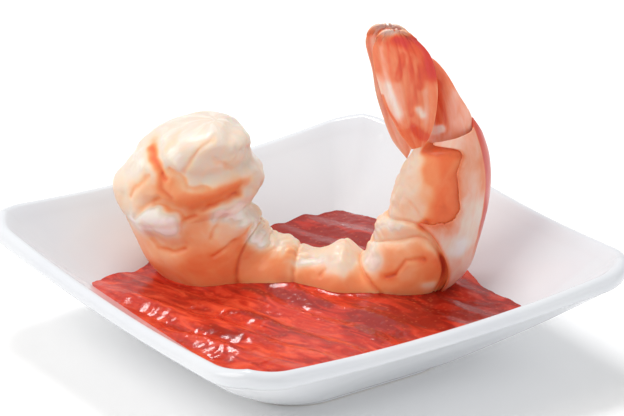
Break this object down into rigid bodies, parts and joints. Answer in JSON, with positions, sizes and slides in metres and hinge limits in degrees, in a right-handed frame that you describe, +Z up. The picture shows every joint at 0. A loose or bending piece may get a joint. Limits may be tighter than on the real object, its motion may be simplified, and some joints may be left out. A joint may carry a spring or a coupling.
{
  "type": "shrimp cocktail",
  "caption": "Large cooked tail-on shrimp curled upright in a small square white porcelain dish of red cocktail sauce.",
  "frame": {"origin": "middle of the dish's foot, on the table", "axes": "+Z up; +X and +Y along the dish's sides; the shrimp's curl stands in an upright plane along the dish's diagonal, its tail towards the +X, -Y corner"},
  "size_m": [0.0812, 0.0812, 0.0555],
  "materials": {
    "white_porcelain": "gloss",
    "cocktail_sauce": "gloss",
    "cooked_shrimp": "satin",
    "tail_shell": "satin"
  },
  "bodies": {
    "root": {"dish": "white_porcelain", "sauce": "cocktail_sauce", "shrimp_meat": "cooked_shrimp", "tail_shell": "tail_shell", "telson": "tail_shell", "uropod_near_outer": "tail_shell", "uropod_near_inner": "tail_shell", "uropod_far_outer": "tail_shell", "uropod_far_inner": "tail_shell"}
  },
  "joints": []
}
